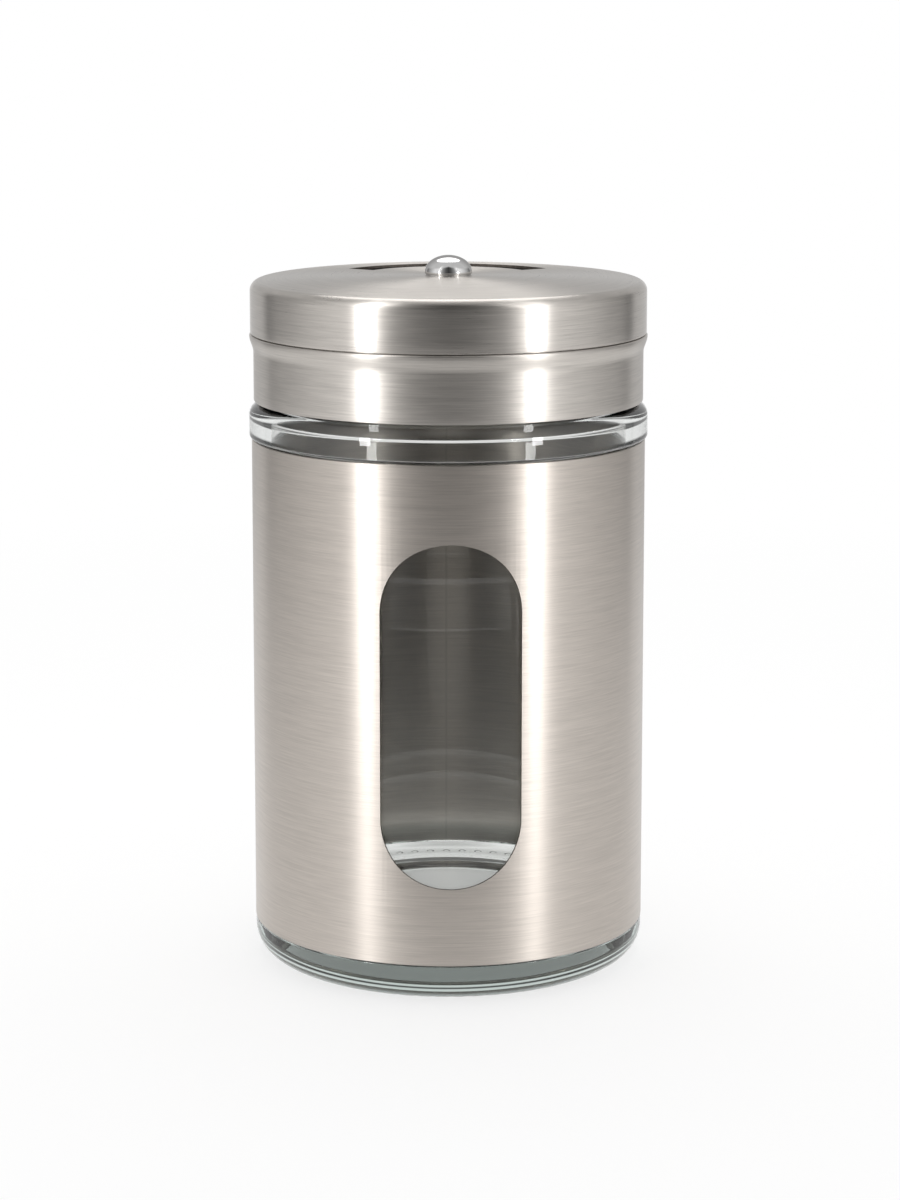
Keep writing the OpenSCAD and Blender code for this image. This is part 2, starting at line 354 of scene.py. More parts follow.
    @classmethod
    def boolean(cls, piece: bpy.types.Object, tool: bpy.types.Object, cut: Cut) -> None:
        """Cuts or joins a piece with a tool solid, and removes the tool.

        Args:
            piece: The piece that is kept.
            tool: The solid that is used up.
            cut: What the tool does.
        """
        cls.activate(piece)
        modifier = piece.modifiers.new("tool", "BOOLEAN")
        modifier.operation = cut.value
        modifier.solver = "EXACT"
        modifier.object = tool
        bpy.ops.object.modifier_apply(modifier=modifier.name)
        bpy.data.objects.remove(tool)

    @classmethod
    def mend(cls, piece: bpy.types.Object) -> None:
        """Merges points that a boolean left together and splits concave faces.

        Args:
            piece: The piece, after its last boolean.
        """
        cls.activate(piece)
        cls.edit()
        bpy.ops.mesh.remove_doubles(threshold=cls.SAME_POINT / 2)
        bpy.ops.mesh.dissolve_degenerate(threshold=cls.SAME_POINT / 2)
        bpy.ops.mesh.vert_connect_concave()
        bpy.ops.object.mode_set(mode="OBJECT")

    @classmethod
    def smooth(cls, piece: bpy.types.Object, angle: float) -> None:
        """Shades a piece smooth, with edges sharper than an angle in degrees kept."""
        cls.activate(piece)
        bpy.ops.object.shade_smooth_by_angle(angle=math.radians(angle))


# ---------------------------------------------------------------- shader maths


class Value:
    """A number that a node gives, for use in Python expressions."""

    def __init__(self, graph: Graph, socket: bpy.types.NodeSocket) -> None:
        """Wraps an output socket of a graph."""
        self.graph = graph
        self.socket = socket

    def _math(self, operation: str, *numbers: Number) -> Value:
        """Adds a Math node and gives its result."""
        node = self.graph.node("ShaderNodeMath", {"operation": operation}, *numbers)
        return Value(self.graph, node.outputs[0])

    def __add__(self, other: Number) -> Value:
        """The sum."""
        return self._math("ADD", self, other)

    __radd__ = __add__

    def __sub__(self, other: Number) -> Value:
        """The difference."""
        return self._math("SUBTRACT", self, other)

    def __rsub__(self, other: Number) -> Value:
        """The difference from a number."""
        return self._math("SUBTRACT", other, self)

    def __mul__(self, other: Number) -> Value:
        """The product."""
        return self._math("MULTIPLY", self, other)

    __rmul__ = __mul__

    def __truediv__(self, other: Number) -> Value:
        """The quotient."""
        return self._math("DIVIDE", self, other)

    def root(self) -> Value:
        """The square root."""
        return self._math("SQRT", self)

    def size(self) -> Value:
        """The absolute value."""
        return self._math("ABSOLUTE", self)

    def larger(self, other: Number) -> Value:
        """The larger of two numbers."""
        return self._math("MAXIMUM", self, other)

    def angle(self, other: Number) -> Value:
        """The angle of this number over another, in degrees."""
        return self._math("ARCTAN2", self, other) * math.degrees(1)

    def arc_sine(self) -> Value:
        """The angle whose sine this is, in degrees."""
        return self._math("ARCSINE", self) * math.degrees(1)

    def span(self, low: float, high: float, to_low: float = 0, to_high: float = 1) -> Value:
        """The number moved from one range to another and held inside it.

        Args:
            low: Start of the range that is read.
            high: End of the range that is read.
            to_low: Result at the start.
            to_high: Result at the end.

        Returns:
            The moved number.
        """
        node = self.graph.node("ShaderNodeMapRange", {"clamp": True}, self, low, high, to_low, to_high)
        return Value(self.graph, node.outputs[0])


Axes = tuple[Value, Value, Value]


class Graph:
    """The nodes of one material or world."""

    def __init__(self, owner: bpy.types.Material | bpy.types.World) -> None:
        """Starts an empty node tree.

        Args:
            owner: The material or world that the nodes belong to.
        """
        owner.use_nodes = True
        self.tree = owner.node_tree
        self.tree.nodes.clear()

    def node(
        self, kind: str, settings: dict | None = None, *values: Input, **named: Input
    ) -> bpy.types.Node:
        """Adds one node.

        Args:
            kind: The node's type.
            settings: Attributes of the node, which are set first.
            *values: Values or links of its inputs, in order.
            **named: Values or links of inputs by name, with _ for a space.

        Returns:
            The new node.
        """
        node = self.tree.nodes.new(kind)
        for key, value in (settings or {}).items():
            if key == "stops":
                self._stops(node, value)
            else:
                setattr(node, key, value)
        for socket, value in zip(node.inputs, values):
            self._feed(socket, value)
        for name, value in named.items():
            self._feed(node.inputs[name.replace("_", " ")], value)
        return node

    def _feed(self, socket: bpy.types.NodeSocket, value: Input) -> None:
        """Links or sets one input.

        Args:
            socket: The input.
            value: A value, a link, or None to leave the input as it is.
        """
        if isinstance(value, Value):
            value = value.socket
        if isinstance(value, bpy.types.NodeSocket):
            self.tree.links.new(value, socket)
        elif value is not None:
            socket.default_value = value

    @staticmethod
    def _stops(node: bpy.types.Node, stops: Sequence[tuple[float, Colour]]) -> None:
        """Sets the stops of a colour ramp.

        Args:
            node: The ramp's node.
            stops: Places from 0 to 1 and their colours.
        """
        elements = node.color_ramp.elements
        while len(elements) < len(stops):
            elements.new(0.5)
        for element, (place, colour) in zip(elements, stops):
            element.position = place
            element.color = colour

    def axes(self) -> Axes:
        """The x, y and z of a point on the piece, in metres."""
        place = self.node("ShaderNodeTexCoord")
        parts = self.node("ShaderNodeSeparateXYZ", None, place.outputs["Object"])
        return tuple(Value(self, parts.outputs[i]) for i in range(3))

    def ray(self, kind: Ray) -> Value:
        """1 for rays of one kind and 0 for others."""
        return Value(self, self.node("ShaderNodeLightPath").outputs[kind.value])

    def seen(self) -> Value:
        """1 for what is seen directly, mirrored or through glass, and 0 for what lights matt surfaces."""
        return self.ray(Ray.CAMERA).larger(self.ray(Ray.MIRRORED)).larger(self.ray(Ray.THROUGH))

    def noise(self, place: Axes, cells: Pair, detail: float = 2, roughness: float = 0.5) -> Value:
        """Noise at a place.

        Args:
            place: The three coordinates, in metres.
            cells: Noise cells to a metre, in plan and in height.
            detail: Number of finer layers.
            roughness: Weight of the finer layers.

        Returns:
            The noise, from 0 to 1 and mostly near 0.5.
        """
        x, y, z = place
        point = self.node("ShaderNodeCombineXYZ", None, x * cells[0], y * cells[0], z * cells[1])
        named = {"Vector": point.outputs[0], "Scale": 1.0, "Detail": detail, "Roughness": roughness}
        return Value(self, self.node("ShaderNodeTexNoise", None, **named).outputs[0])

    def blend(self, share: Number, first: Input, second: Input) -> bpy.types.NodeSocket:
        """Mixes two colours.

        Args:
            share: Share of the second colour.
            first: Colour or link.
            second: Colour or link.

        Returns:
            The mixed colour's socket.
        """
        node = self.node("ShaderNodeMix", {"data_type": "RGBA"})
        for name, value in (("Factor_Float", share), ("A_Color", first), ("B_Color", second)):
            self._feed(next(s for s in node.inputs if s.identifier == name), value)
        return next(s for s in node.outputs if s.identifier == "Result_Color")

    def bump(self, height: Value, relief: Pair) -> bpy.types.NodeSocket:
        """Turns a height into a normal.

        Args:
            height: Height from 0 to 1.
            relief: Height of a full step in metres, and the share of it that shows.

        Returns:
            The normal's socket.
        """
        distance, strength = relief
        node = self.node("ShaderNodeBump", None, Strength=strength, Distance=distance, Height=height)
        return node.outputs[0]

    def surface(self, **named: Input) -> bpy.types.Node:
        """A principled shader with the values or links of its inputs by name."""
        return self.node("ShaderNodeBsdfPrincipled", None, **named)

    def glow(self, light: Input) -> bpy.types.Node:
        """An emission shader of a colour, or of a link to one."""
        return self.node("ShaderNodeEmission", None, light, 1.0)

    def finish(self, shader: bpy.types.Node, volume: bpy.types.Node | None = None) -> None:
        """Links the shaders to the output.

        Args:
            shader: Shader of the surface, or the world's background.
            volume: Shader of the inside, if there is one.
        """
        kind = "ShaderNodeOutputWorld" if shader.type == "BACKGROUND" else "ShaderNodeOutputMaterial"
        output = self.node(kind)
        self.tree.links.new(shader.outputs[0], output.inputs["Surface"])
        if volume is not None:
            self.tree.links.new(volume.outputs[0], output.inputs["Volume"])


# ---------------------------------------------------------------- finishes


def rgb(red: float, green: float, blue: float) -> Colour:
    """An opaque linear colour."""
    return (red, green, blue, 1.0)


def scaled(colour: Colour, factor: float) -> Colour:
    """A colour made lighter or darker."""
    return rgb(*(channel * factor for channel in colour[:3]))


BLACK = rgb(0, 0, 0)
WHITE = rgb(1, 1, 1)
MOST = (0.3, 0.7)  # the range that most of a noise lies in
CORE = (0.35, 0.65)  # a narrower range, for more contrast


@dataclass(frozen=True)
class Finish:
    """A finish that becomes a material of its name."""

    name: str

    @cache
    def make(self) -> bpy.types.Material:
        """Builds the material, once for each finish.

        Returns:
            The material.
        """
        material = bpy.data.materials.new(self.name)
        self.paint(Graph(material))
        return material

    def paint(self, graph: Graph) -> None:
        """Adds the finish's nodes to an empty graph."""
        raise NotImplementedError


@dataclass(frozen=True)
class BrushedSteel(Finish):
    """Stainless sheet brushed round the axis, with fine and broad streaks.

    Attributes:
        tint: Colour of the metal.
        roughness: Mean roughness.
        contrast: Share by which the streaks are lighter and darker than the metal.
        spread: Spread of the roughness from streak to streak.
        fine: Fine streaks to a metre, along and across the brushing.
        broad: Broad streaks to a metre, along and across the brushing.
        fine_share: Share of the fine streaks in the brushing.
        clouds: Soft patches to a metre, in plan and in height.
        haze: Spread of the roughness from patch to patch.
        stretch: Anisotropy of the highlight.
        relief: Height of the streaks in metres, and the share of it that shows.
        weld: Half the width of the weld at the back in metres, or 0 where there is none.
        sink: Depth of the weld, as a multiple of a streak's height.
    """

    tint: Colour = rgb(0.585, 0.552, 0.515)
    roughness: float = 0.29
    contrast: float = 0.12
    spread: float = 0.11
    fine: Pair = (150, 6400)
    broad: Pair = (80, 6400 / 2.6)
    fine_share: float = 0.72
    clouds: Pair = (35, 30)
    haze: float = 0.06
    stretch: float = 0.85
    relief: Pair = (3e-6, 0.3)
    weld: float = 0.0
    sink: float = 3.0

    def paint(self, graph: Graph) -> None:
        """Adds the brushing, the patches and the weld.

        Args:
            graph: The material's empty graph.
        """
        x, y, z = graph.axes()
        across = z + (x * x + y * y).root()
        fine = graph.noise((x, y, across), self.fine, detail=3, roughness=0.65)
        broad = graph.noise((x, y, across), self.broad)
        patches = graph.noise((x, y, z), self.clouds)
        streaks = fine * self.fine_share + broad * (1 - self.fine_share)
        dark, bright = (scaled(self.tint, 1 + step) for step in (-self.contrast, self.contrast))
        colour = graph.blend(streaks.span(0.34, 0.66), dark, bright)
        height = streaks
        if self.weld:
            line = (1 - x.size().span(self.weld / 2, self.weld)) * y.span(0, MM)
            colour = graph.blend(line, colour, dark)
            height = streaks - line * self.sink
        shader = graph.surface(
            Base_Color=colour,
            Metallic=1.0,
            Roughness=self.roughness + (streaks - 0.5) * self.spread + (patches - 0.5) * self.haze,
            Anisotropic=self.stretch,
            Anisotropic_Rotation=0.25,
            Normal=graph.bump(height, self.relief),
        )
        graph.finish(shader)


@dataclass(frozen=True)
class PolishedSteel(Finish):
    """Mirror-polished steel with faint turning marks, and painted shade on its rim where it is seen edge on.

    Attributes:
        tint: Colour of the metal.
        bloom: Colour of its lighter patches.
        rim: Colour of the painted shade where the surface is seen edge on.
        marks: Turning marks to a metre, in plan and in height.
        patches: Lighter patches to a metre, in plan and in height.
        polish: Least and greatest roughness.
    """

    tint: Colour = rgb(0.78, 0.775, 0.77)
    bloom: Colour = rgb(0.84, 0.835, 0.83)
    rim: Colour = rgb(0.26, 0.25, 0.245)
    marks: Pair = (300, 9000)
    patches: Pair = (900, 900)
    polish: Pair = (0.05, 0.11)

    def paint(self, graph: Graph) -> None:
        """Adds the marks, the patches and the rim of painted shade seen edge on.

        Args:
            graph: The material's empty graph.
        """
        place = graph.axes()
        marks = graph.noise(place, self.marks)
        patches = graph.noise(place, self.patches, detail=3)
        facing = graph.node("ShaderNodeLayerWeight", None, Blend=0.5).outputs["Facing"]
        metal = graph.blend(patches.span(*MOST), self.tint, self.bloom)
        shader = graph.surface(
            # Painted shade: the metal darkens towards the rim colour where the surface is seen edge on.
            Base_Color=graph.blend(Value(graph, facing).span(0.35, 0.85), metal, self.rim),
            Metallic=1.0,
            Roughness=marks.span(*MOST, *self.polish),
            Normal=graph.bump(marks, (2e-6, 0.1)),
        )
        graph.finish(shader)


@dataclass(frozen=True)
class ShadedCutEdge(Finish):
    """The dull, torn edge that a punch leaves on sheet, painted dark as the shade along the cut."""

    # Painted shade: the edge is far darker than the steel round it, as the shade along a cut looks.
    tint: Colour = rgb(0.11, 0.095, 0.082)
    bright: Colour = rgb(0.17, 0.15, 0.135)
    tears: Pair = (2600, 2600)

    def paint(self, graph: Graph) -> None:
        """Adds the tears.

        Args:
            graph: The material's empty graph.
        """
        tears = graph.noise(graph.axes(), self.tears, detail=3)
        shader = graph.surface(
            Base_Color=graph.blend(tears.span(*CORE), self.tint, self.bright),
            Metallic=1.0,
            Roughness=tears.span(*MOST, 0.45, 0.62),
            Normal=graph.bump(tears, (1e-5, 0.5)),
        )
        graph.finish(shader)


@dataclass(frozen=True)
class ClearGlass(Finish):
    """Soda-lime glass that lets lamp light through to what is behind it.

    Attributes:
        tint: Colour of its surface.
        shade: Colour that light keeps where it goes straight through a surface.
        body: Colour that light takes on inside.
        density: Strength of that colour, to a metre.
        index: Index of refraction.
        waves: Waves of the surface to a metre, in plan and in height.
    """

    tint: Colour = rgb(0.995, 0.992, 0.985)
    shade: Colour = rgb(0.95, 0.95, 0.945)
    body: Colour = rgb(0.55, 0.64, 0.61)
    density: float = 24.0
    index: float = 1.5
    waves: Pair = (60, 22)

    def paint(self, graph: Graph) -> None:
        """Adds the wavy surface and the tinted body.

        Args:
            graph: The material's empty graph.
        """
        waves = graph.noise(graph.axes(), self.waves, detail=1)
        glass = graph.surface(
            Base_Color=self.tint,
            Roughness=0.0,
            IOR=self.index,
            Transmission_Weight=1.0,
            Normal=graph.bump(waves, (6e-5, 0.5)),
        )
        clear = graph.node("ShaderNodeBsdfTransparent", None, Color=self.shade)
        shaders = glass.outputs[0], clear.outputs[0]
        surface = graph.node("ShaderNodeMixShader", None, graph.ray(Ray.SHADOW), *shaders)
        graph.finish(surface, graph.node("ShaderNodeVolumeAbsorption", None, self.body, self.density))


@dataclass(frozen=True)
class MouldedPlastic(Finish):
    """Moulded plastic with a fine spark-eroded grain."""

    tint: Colour = rgb(0.022, 0.020, 0.018)
    roughness: float = 0.42
    pits: Pair = (2600, 2600)
    flow_marks: Pair = (90, 90)

    def paint(self, graph: Graph) -> None:
        """Adds the grain and the paler flow marks.

        Args:
            graph: The material's empty graph.
        """
        place = graph.axes()
        pits = graph.noise(place, self.pits)
        flow_marks = graph.noise(place, self.flow_marks)
        shader = graph.surface(
            Base_Color=graph.blend(flow_marks.span(*CORE), self.tint, scaled(self.tint, 1.5)),
            Roughness=self.roughness + (pits - 0.5) * 0.2,
            Specular_IOR_Level=0.45,
            Normal=graph.bump(pits, (2e-5, 0.4)),
        )
        graph.finish(shader)


@dataclass(frozen=True)
class SealFoam(Finish):
    """White foamed plastic with fine closed cells."""

    tint: Colour = rgb(0.80, 0.80, 0.77)
    bright: Colour = rgb(0.86, 0.86, 0.84)
    cells: Pair = (3200, 3200)

    def paint(self, graph: Graph) -> None:
        """Adds the cells.

        Args:
            graph: The material's empty graph.
        """
        cells = graph.noise(graph.axes(), self.cells)
        shader = graph.surface(
            Base_Color=graph.blend(cells.span(*CORE), self.tint, self.bright),
            Roughness=cells.span(*MOST, 0.6, 0.8),
            Normal=graph.bump(cells, (3e-5, 0.5)),
        )
        graph.finish(shader)


GLASS = ClearGlass("clear_glass")
SLEEVE_STEEL = BrushedSteel(
    "brushed_sleeve", tint=rgb(0.57, 0.523, 0.478), roughness=0.38, contrast=0.1, weld=2.5e-4
)
BAND_STEEL = BrushedSteel("brushed_band", roughness=0.38)
COVER_STEEL = BrushedSteel("brushed_lid")
SHADED_CUT_EDGE = ShadedCutEdge("cut_edge_shade")
POLISHED = PolishedSteel("polished_steel")
PLATED = PolishedSteel("plated_steel", tint=rgb(0.62, 0.62, 0.63))
MOULDED = MouldedPlastic("moulded_plastic")
LINER = MouldedPlastic("liner_plastic", roughness=0.34)
FOAM = SealFoam("seal_foam")


# ---------------------------------------------------------------- pieces


def dress(piece: bpy.types.Object, finish: Finish) -> None:
    """Gives a whole piece one finish.

    Args:
        piece: The piece.
        finish: Its finish.
    """
    material = finish.make()
    if not piece.data.materials:
        piece.data.materials.append(material)
    for slot in piece.material_slots:
        slot.material = material


def dress_faces(piece: bpy.types.Object, finish: Finish, wanted: Test) -> None:
    """Gives the faces that a test picks a second finish.

    Args:
        piece: The piece, which has its first finish.
        finish: The second finish.
        wanted: Test of a face's centre and normal, in metres.
    """
    piece.data.materials.append(finish.make())
    for face in piece.data.polygons:
        if wanted(face.center, face.normal):
            face.material_index = len(piece.data.materials) - 1


def hand_over(piece: bpy.types.Object, body: Body, node: str) -> None:
    """Ties a finished piece to its body, hides the node that it replaces, and logs its faces.

    Args:
        piece: The finished piece.
        body: The body that it rides on.
        node: The node that it replaces.
    """
    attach(piece, body.value)
    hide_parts(node)
    LOG.info("%s: %d faces, on %s", piece.name, len(piece.data.polygons), body.value)


def keep(solids: Solids, finish: Finish, *nodes: str) -> None:
    """Dresses solids that are shown as the frame gives them.

    Args:
        solids: The frame's solids by node.
        finish: Their finish.
        *nodes: Their nodes.
    """
    for node in nodes:
        dress(solids[node], finish)
        LOG.info("%s: kept from the frame", node)


def top_of(node: str) -> float:
    """Height of a node's highest point, in millimetres."""
    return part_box(node)[1].z / MM


def bottom_of(node: str) -> float:
    """Height of a node's lowest point, in millimetres."""
    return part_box(node)[0].z / MM


def radius_of(node: str) -> float:
    """Widest radius of a round node, in millimetres."""
    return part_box(node)[1].x / MM


@dataclass
class Jar:
    """The glass jar in its steel sleeve."""

    steps: int = 256
    wall: float = 2.4
    floor: float = 9.0
    floor_rise: float = 0.8  # how far the inner floor's middle stands up
    floor_corner: float = 5.0
    heel: float = 4.5
    foot_width: float = 3.0
    foot_set_back: float = 0.05  # how far the foot stays inside the sleeve
    push_up: float = 1.6  # depth of the hollow under the foot
    push_up_power: float = 8.0  # how flat the hollow is
    marks: int = 64
    mark_radius: float = 27.6
    mark_size: Place = (0.95, 0.7, 0.62)
    sleeve_gap: float = 0.4
    sleeve_seat: float = 0.05  # clearance at the sleeve's two ends
    sheet: float = 0.35
    sheet_edge: float = 0.08
    ledge_round: float = 0.25
    bead_height: float = 5.4
    bead_side: float = 3.45  # height of the bead's upright side
    bead_tuck: float = 0.3
    bead_foot: tuple[Point, ...] = ((3, 0), (0.6, 1), (0.15, 1.4), (0, 2))  # inward and upward, in tucks
    bead_end: float = 82.0  # where the bead's rounding meets the neck's foot, in degrees
    shoulder: float = 2.6
    throat: float = 2.8
    neck_radius: float = 26.6
    neck_wall: float = 3.0
    neck_foot: Point = (1.6, 0.15)  # outward from the neck and upward from the bead
    neck_lift: float = 0.4
    neck_round: float = 1.0
    lip: float = 1.3
    lead: float = 4.2  # how far the thread climbs in a full turn
    thread_depth: float = 1.2
    thread_root: float = 2.0
    thread_crest: float = 0.8
    thread_round: float = 0.22
    thread_bite: float = 0.4  # how far the thread reaches into the neck
    thread_stretches: int = 5
    thread_arc: float = 80.0
    window_width: float = 21.1
    window_height: float = 52.2

    def build(self) -> None:
        """Builds the glass and the sleeve, and dresses them."""
        jar = self.glass()
        dress(jar, GLASS)
        hand_over(jar, Body.JAR, "glass_jar")
        sleeve = self.sleeve()
        dress(sleeve, SLEEVE_STEEL)
        # The window's cut edge gets painted shade.
        dress_faces(sleeve, SHADED_CUT_EDGE, self.in_window)
        hand_over(sleeve, Body.JAR, "body_sleeve")

    @property
    def outer(self) -> float:
        """Radius of the glass inside the sleeve."""
        return radius_of("body_sleeve") - self.sheet - self.sleeve_gap

    @property
    def mouth(self) -> float:
        """Radius of the mouth."""
        return self.neck_radius - self.neck_wall

    @property
    def bead_low(self) -> float:
        """Height of the bead's lower side."""
        return top_of("body_sleeve") + self.sleeve_seat

    @property
    def bead_high(self) -> float:
        """Height of the bead's upper side."""
        return self.bead_low + self.bead_height

    def in_window(self, centre: Vector, normal: Vector) -> bool:
        """Whether a face of the sleeve is the cut edge round the window.

        Args:
            centre: The face's centre, in metres.
            normal: The face's normal.

        Returns:
            True for the cut edge, and False for the sleeve's own ends and sides.
        """
        end_zone = 1.0
        outward = Vector((centre.x, centre.y, 0)).normalized()
        low, high = bottom_of("body_sleeve") + end_zone, top_of("body_sleeve") - end_zone
        return abs(normal.dot(outward)) < 0.3 and low < centre.z / MM < high

    def profile(self) -> Profile:
        """The glass in section, from the foot's centre round the outside to the inner floor's centre."""
        return self.foot_line() + self.bead_line() + self.neck_line() + self.inside_line()

    def foot_line(self) -> Profile:
        """The hollow foot, the heel, the ledge under the sleeve and the wall behind it.

        Returns:
            Points as radius and height.
        """
        foot = radius_of("body_sleeve") - self.foot_set_back
        ledge = bottom_of("body_sleeve") - self.sleeve_seat
        heel = foot - self.heel
        ring = heel - self.foot_width
        edge = self.ledge_round
        return (
            [(ring * t, self.push_up * (1 - t**self.push_up_power)) for t in shares(8)]
            + arc(heel, self.heel, self.heel, -90, 0, 24)
            + arc(foot - edge, ledge - edge, edge, 0, 90, 5)
            + straight((self.outer, ledge), (self.outer, self.bead_low), 2)
        )

    def bead_line(self) -> Profile:
        """The bead, drawn in at its foot, upright at its side and rounded above.

        Returns:
            Points as radius and height.
        """
        bead = radius_of("glass_jar")
        low, tuck = self.bead_low, self.bead_tuck
        rounding = self.bead_height - self.bead_side
        side = self.bead_high - rounding
        return (
            [(bead - inward * tuck, low + upward * tuck) for inward, upward in self.bead_foot]
            + straight((bead, low + 3 * tuck), (bead, side), 2)
            + arc(bead - rounding, side, rounding, 0, self.bead_end, 14)
        )

    def neck_line(self) -> Profile:
        """The neck's foot, the neck and the rounded lip.

        Returns:
            Points as radius and height.
        """
        neck, lip, turn = self.neck_radius, self.lip, self.neck_round
        outward, upward = self.neck_foot
        lip_z = top_of("glass_jar") - lip
        return (
            [(neck + outward, self.bead_high + upward)]
            + arc(neck + turn, self.bead_high + self.neck_lift + turn, turn, 270, 180, 6)
            + arc(neck - lip, lip_z, lip, 0, 90, 8)
            + arc(self.mouth + lip, lip_z, lip, 90, 180, 8)
        )

    def inside_line(self) -> Profile:
        """The throat, the shoulder, the inner wall and the inner floor.

        Returns:
            Points as radius and height.
        """
        cavity = self.outer - self.wall
        corner = self.floor_corner
        shoulder = (cavity, self.bead_low + self.shoulder)
        middle = cavity - corner
        return (
            flow((self.mouth, self.bead_high + self.throat), shoulder, 16)
            + straight(shoulder, (cavity, self.floor + corner), 2)
            + arc(middle, self.floor + corner, corner, 0, -90, 14)
            + [(middle * t, self.floor + self.floor_rise * (1 - t * t)) for t in reversed(shares(8))]
        )

    def glass(self) -> bpy.types.Object:
        """The jar as one closed solid of glass, with its thread and the marks under its foot.

        Returns:
            The closed solid.
        """
        piece = Bench.lathe("jar_glass", self.profile(), self.steps)
        Bench.boolean(piece, self.thread(), Cut.ADD)
        Bench.boolean(piece, self.foot_marks(), Cut.REMOVE)
        Bench.mend(piece)
        Bench.smooth(piece, 50)
        return piece

    def stretch(self) -> bpy.types.Object:
        """One stretch of the thread, tilted to its climb, with bevelled crest and ends.

        Returns:
            The closed solid.
        """
        half_root, half_crest = self.thread_root / 2, self.thread_crest / 2
        low = half_root + (half_root - half_crest) * self.thread_bite / self.thread_depth
        base, crest = self.neck_radius - self.thread_bite, self.neck_radius + self.thread_depth
        section = [(base, -low), (crest, -half_crest), (crest, half_crest), (base, low)]
        piece = Bench.sector(section, self.thread_arc, steps=24)
        outside = (crest - 0.05) * MM
        Bench.select_edges(piece, lambda a, b: min(a.xy.length, b.xy.length) > outside)
        bpy.ops.mesh.bevel(offset=self.thread_round * MM, segments=3)
        bpy.ops.mesh.select_all(action="SELECT")
        slope = math.atan(self.lead / (math.tau * self.neck_radius))
        bpy.ops.transform.rotate(value=-slope, orient_axis="X", center_override=ORIGIN)
        return Bench.settle("thread_stretch")

    def thread(self) -> bpy.types.Object:
        """The raised thread: copies of one stretch that climb round the neck.

        Returns:
            The closed solid.
        """
        last = (self.thread_stretches - 1) * 90 + self.thread_arc / 2
        start = top_of("glass_jar") - self.lip - self.thread_root / 2 - self.lead * last / 360
        stretch = self.stretch()
        pieces = []
        for i in range(self.thread_stretches):
            Bench.copy(stretch)
            bpy.ops.transform.rotate(value=-math.radians(90 * i), orient_axis="Z", center_override=ORIGIN)
            bpy.ops.transform.translate(value=(0, 0, (start + self.lead * i / 4) * MM))
            pieces.append(Bench.settle("thread_tool"))
        bpy.data.objects.remove(stretch)
        return Bench.join(pieces)

    def foot_marks(self) -> bpy.types.Object:
        """Small hollows in a ring under the heel, which keep the foot from sticking.

        Returns:
            The closed solid.
        """
        Bench.clear()
        bpy.ops.mesh.primitive_uv_sphere_add(
            segments=12,
            ring_count=8,
            radius=MM,
            location=(self.mark_radius * MM, 0, 0),
            scale=self.mark_size,
        )
        Bench.edit()
        turn = math.tau * (self.marks - 1) / self.marks
        bpy.ops.mesh.spin(steps=self.marks - 1, dupli=True, angle=turn, center=ORIGIN, axis=UP)
        return Bench.settle("foot_marks")

    def sleeve(self) -> bpy.types.Object:
        """The rolled sleeve with its stadium window.

        Returns:
            The closed solid.
        """
        outer, edge = radius_of("body_sleeve"), self.sheet_edge
        inner = outer - self.sheet
        low, high = bottom_of("body_sleeve"), top_of("body_sleeve")
        rolled = [(inner, low), (outer - edge, low), (outer, low + edge)]
        rolled += [(outer, high - edge), (outer - edge, high), (inner, high)]
        piece = Bench.lathe("steel_sleeve", rolled, self.steps)
        Bench.boolean(piece, self.window_tool((low + high) / 2), Cut.REMOVE)
        Bench.mend(piece)
        Bench.smooth(piece, 30)
        return piece

    def window_tool(self, height: float) -> bpy.types.Object:
        """A stadium-shaped bar that tapers towards the axis, as a window punched in flat sheet is cut.

        Args:
            height: Height of the window's centre.

        Returns:
            The solid, reaching from inside the jar out past the front.
        """
        run = (self.window_height - self.window_width) / 2
        reach = radius_of("glass_jar") + 5
        depth = 0.6  # share of the reach that the bar covers
        taper = reach / math.sqrt(radius_of("body_sleeve") ** 2 - self.window_width**2 / 4)
        middle = height * MM
        Bench.clear()
        bpy.ops.mesh.primitive_circle_add(
            vertices=96,
            radius=self.window_width / 2 * MM,
            fill_type="NGON",
            location=(0, -reach * MM, middle),
            rotation=(math.pi / 2, 0, 0),
        )
        piece = Bench.settle("window_tool")
        for side in (1, -1):
            Bench.select_edges(piece, lambda a, b: min(side * (p.z - middle) for p in (a, b)) > -1e-7)
            bpy.ops.transform.translate(value=(0, 0, side * run * MM))
        Bench.edit()
        bpy.ops.transform.resize(value=(taper, 1, 1), center_override=(0, 0, middle))
        bpy.ops.mesh.extrude_region_move(TRANSFORM_OT_translate={"value": (0, reach * depth * MM, 0)})
        bpy.ops.transform.resize(value=(1 - depth, 1, 1), center_override=(0, 0, middle))
        bpy.ops.mesh.select_all(action="SELECT")
        bpy.ops.mesh.normals_make_consistent(inside=False)
        return Bench.settle("window_tool")


